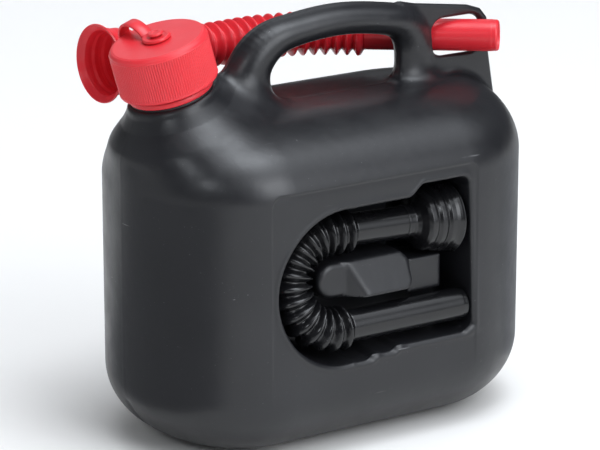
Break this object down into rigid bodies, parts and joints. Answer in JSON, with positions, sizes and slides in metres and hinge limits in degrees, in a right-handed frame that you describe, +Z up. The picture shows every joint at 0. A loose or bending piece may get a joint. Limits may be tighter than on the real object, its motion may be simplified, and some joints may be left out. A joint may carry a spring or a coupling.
{
  "type": "jerry can",
  "caption": "Plastic fuel can with a moulded handle, a tethered screw cap on a tilted neck, and two flexible pouring spouts stored on it.",
  "frame": {"origin": "centre of the base, on the surface the can stands on", "axes": "+Z up; +X along the can, from the cap towards the rear of the handle; the side with the spout recess faces -Y"},
  "size_m": [0.2669, 0.1581, 0.2536],
  "materials": {
    "can_shell": "satin blow-moulded polyethylene",
    "cap_red": "satin injection-moulded polyethylene",
    "tether_red": "satin injection-moulded polyethylene",
    "spout_red": "satin blow-moulded polyethylene",
    "spout_black": "semi-gloss blow-moulded polyethylene",
    "seal": "matt"
  },
  "bodies": {
    "can": {"can_body": "can_shell"},
    "tether": {"tether_ring": "tether_red", "tether_strap": "tether_red"},
    "tether_top": {"tether_eye": "tether_red"},
    "cap": {"screw_cap": "cap_red", "cap_gasket": "seal"},
    "red_spout": {"red_spout_outlet": "spout_red", "red_spout_bellows": "spout_red"},
    "red_collar": {"red_spout_collar": "spout_red"},
    "black_spout": {"black_spout_collar": "spout_black", "black_spout_bellows": "spout_black"},
    "black_outlet": {"black_spout_outlet": "spout_black"}
  },
  "joints": [
    {"name": "tether_swivel", "type": "hinge", "parent": "can", "child": "tether", "pos_m": [-0.0992, 0, 0.2183], "axis": [-0.2756, 0, 0.9613], "range_deg": [-70, 8]},
    {"name": "cap_lift", "type": "slide", "parent": "tether", "child": "tether_top", "axis": [-0.2756, 0, 0.9613], "range_m": [0, 0.0101], "deforming": ["tether_strap"]},
    {"name": "cap_turn", "type": "hinge", "parent": "tether_top", "child": "cap", "pos_m": [-0.0992, 0, 0.2183], "axis": [-0.2756, 0, 0.9613], "range_deg": [0, 720]},
    {"name": "red_spout_out", "type": "slide", "parent": "can", "child": "red_spout", "axis": [-0.7476, 0.6637, -0.0244], "range_m": [0, 0.09]},
    {"name": "red_collar_bend", "type": "hinge", "parent": "red_spout", "child": "red_collar", "pos_m": [-0.029, 0.0612, 0.2201], "axis": [0, 0, -1], "range_deg": [0, 40], "deforming": ["red_spout_bellows"]},
    {"name": "black_spout_out", "type": "slide", "parent": "can", "child": "black_spout", "axis": [0, -1, 0], "range_m": [0, 0.06]},
    {"name": "black_outlet_bend", "type": "hinge", "parent": "black_spout", "child": "black_outlet", "pos_m": [-0.03, -0.0665, 0.0748], "axis": [0, 0, -1], "range_deg": [0, 60], "deforming": ["black_spout_bellows"]}
  ],
  "couplings": [
    {"joint": "cap_lift", "follows": "cap_turn", "m_per_rad": 0.00079577}
  ]
}
